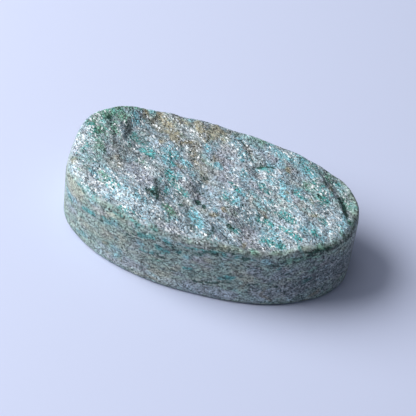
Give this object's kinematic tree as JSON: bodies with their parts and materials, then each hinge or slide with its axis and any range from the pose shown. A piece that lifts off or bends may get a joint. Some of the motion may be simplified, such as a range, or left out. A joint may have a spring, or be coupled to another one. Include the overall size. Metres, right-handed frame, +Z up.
{
  "type": "cut amazonite stone",
  "caption": "Flat-backed freeform oval of amazonite with a ground upright edge and a rough broken top, to set in a bezel or lay on a surface.",
  "frame": {"origin": "on the flat back, at the middle of the stone's box", "axes": "+Z up out of the back, +X along the stone's length towards its rounder end, +Y across it"},
  "size_m": [0.042, 0.0249, 0.0109],
  "materials": {
    "amazonite": "rough sparkling break on top, matt ground edge and back"
  },
  "bodies": {
    "root": {"amazonite_stone": "amazonite"}
  },
  "joints": []
}
